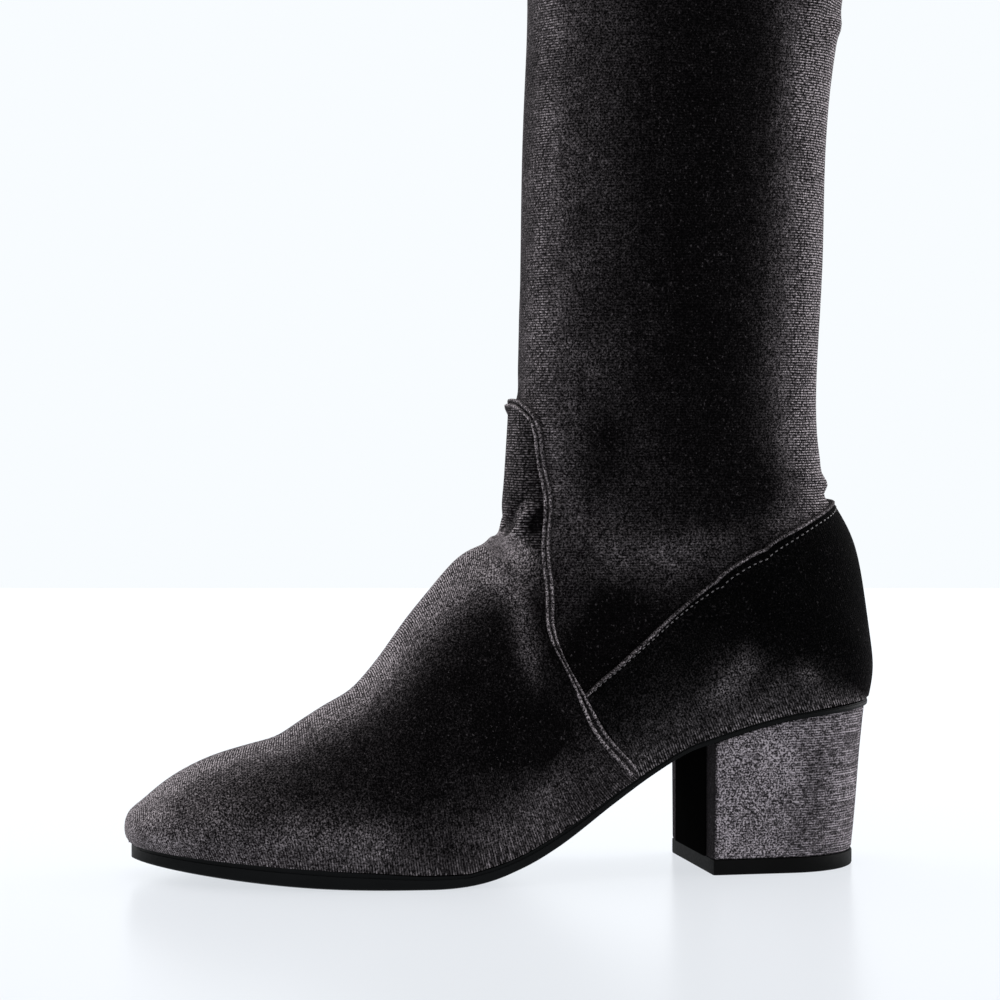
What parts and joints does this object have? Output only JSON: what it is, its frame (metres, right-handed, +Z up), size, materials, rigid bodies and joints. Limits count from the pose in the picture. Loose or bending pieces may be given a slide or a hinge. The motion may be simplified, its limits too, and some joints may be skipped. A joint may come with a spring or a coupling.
{
  "type": "thigh high boot",
  "caption": "Left thigh high sock boot in stretch velvet: rounded toe, raised vamp tongue, heel counter, thin rubber sole and a covered block heel with a rubber lift.",
  "frame": {"origin": "on the floor under the middle of the boot's box: the length is centred on y = 0 and the middle of the heel is on x = 0", "axes": "+Z up the leg towards the collar, -Y from the heel to the toe, +X to the outer side of this left boot"},
  "size_m": [0.113, 0.2541, 0.6798],
  "materials": {
    "velvet": "dark ribbed stretch velvet, matt with a soft sheen",
    "seam_velvet": "turned velvet edge, a little lighter",
    "counter_velvet": "darkest ribbed velvet, matt",
    "heel_velvet": "velvet glued round the heel, slightly lighter",
    "rubber": "black moulded rubber, satin",
    "heel_cover": "smooth black sheet, satin",
    "footbed": "soft dark padded footbed"
  },
  "bodies": {
    "root": {"outsole": "rubber", "insole": "footbed", "upper": "velvet", "vamp": "velvet", "vamp_seam": "seam_velvet", "counter": "counter_velvet", "heel_block": "heel_velvet", "heel_breast_cover": "heel_cover", "top_piece": "rubber"}
  },
  "joints": []
}
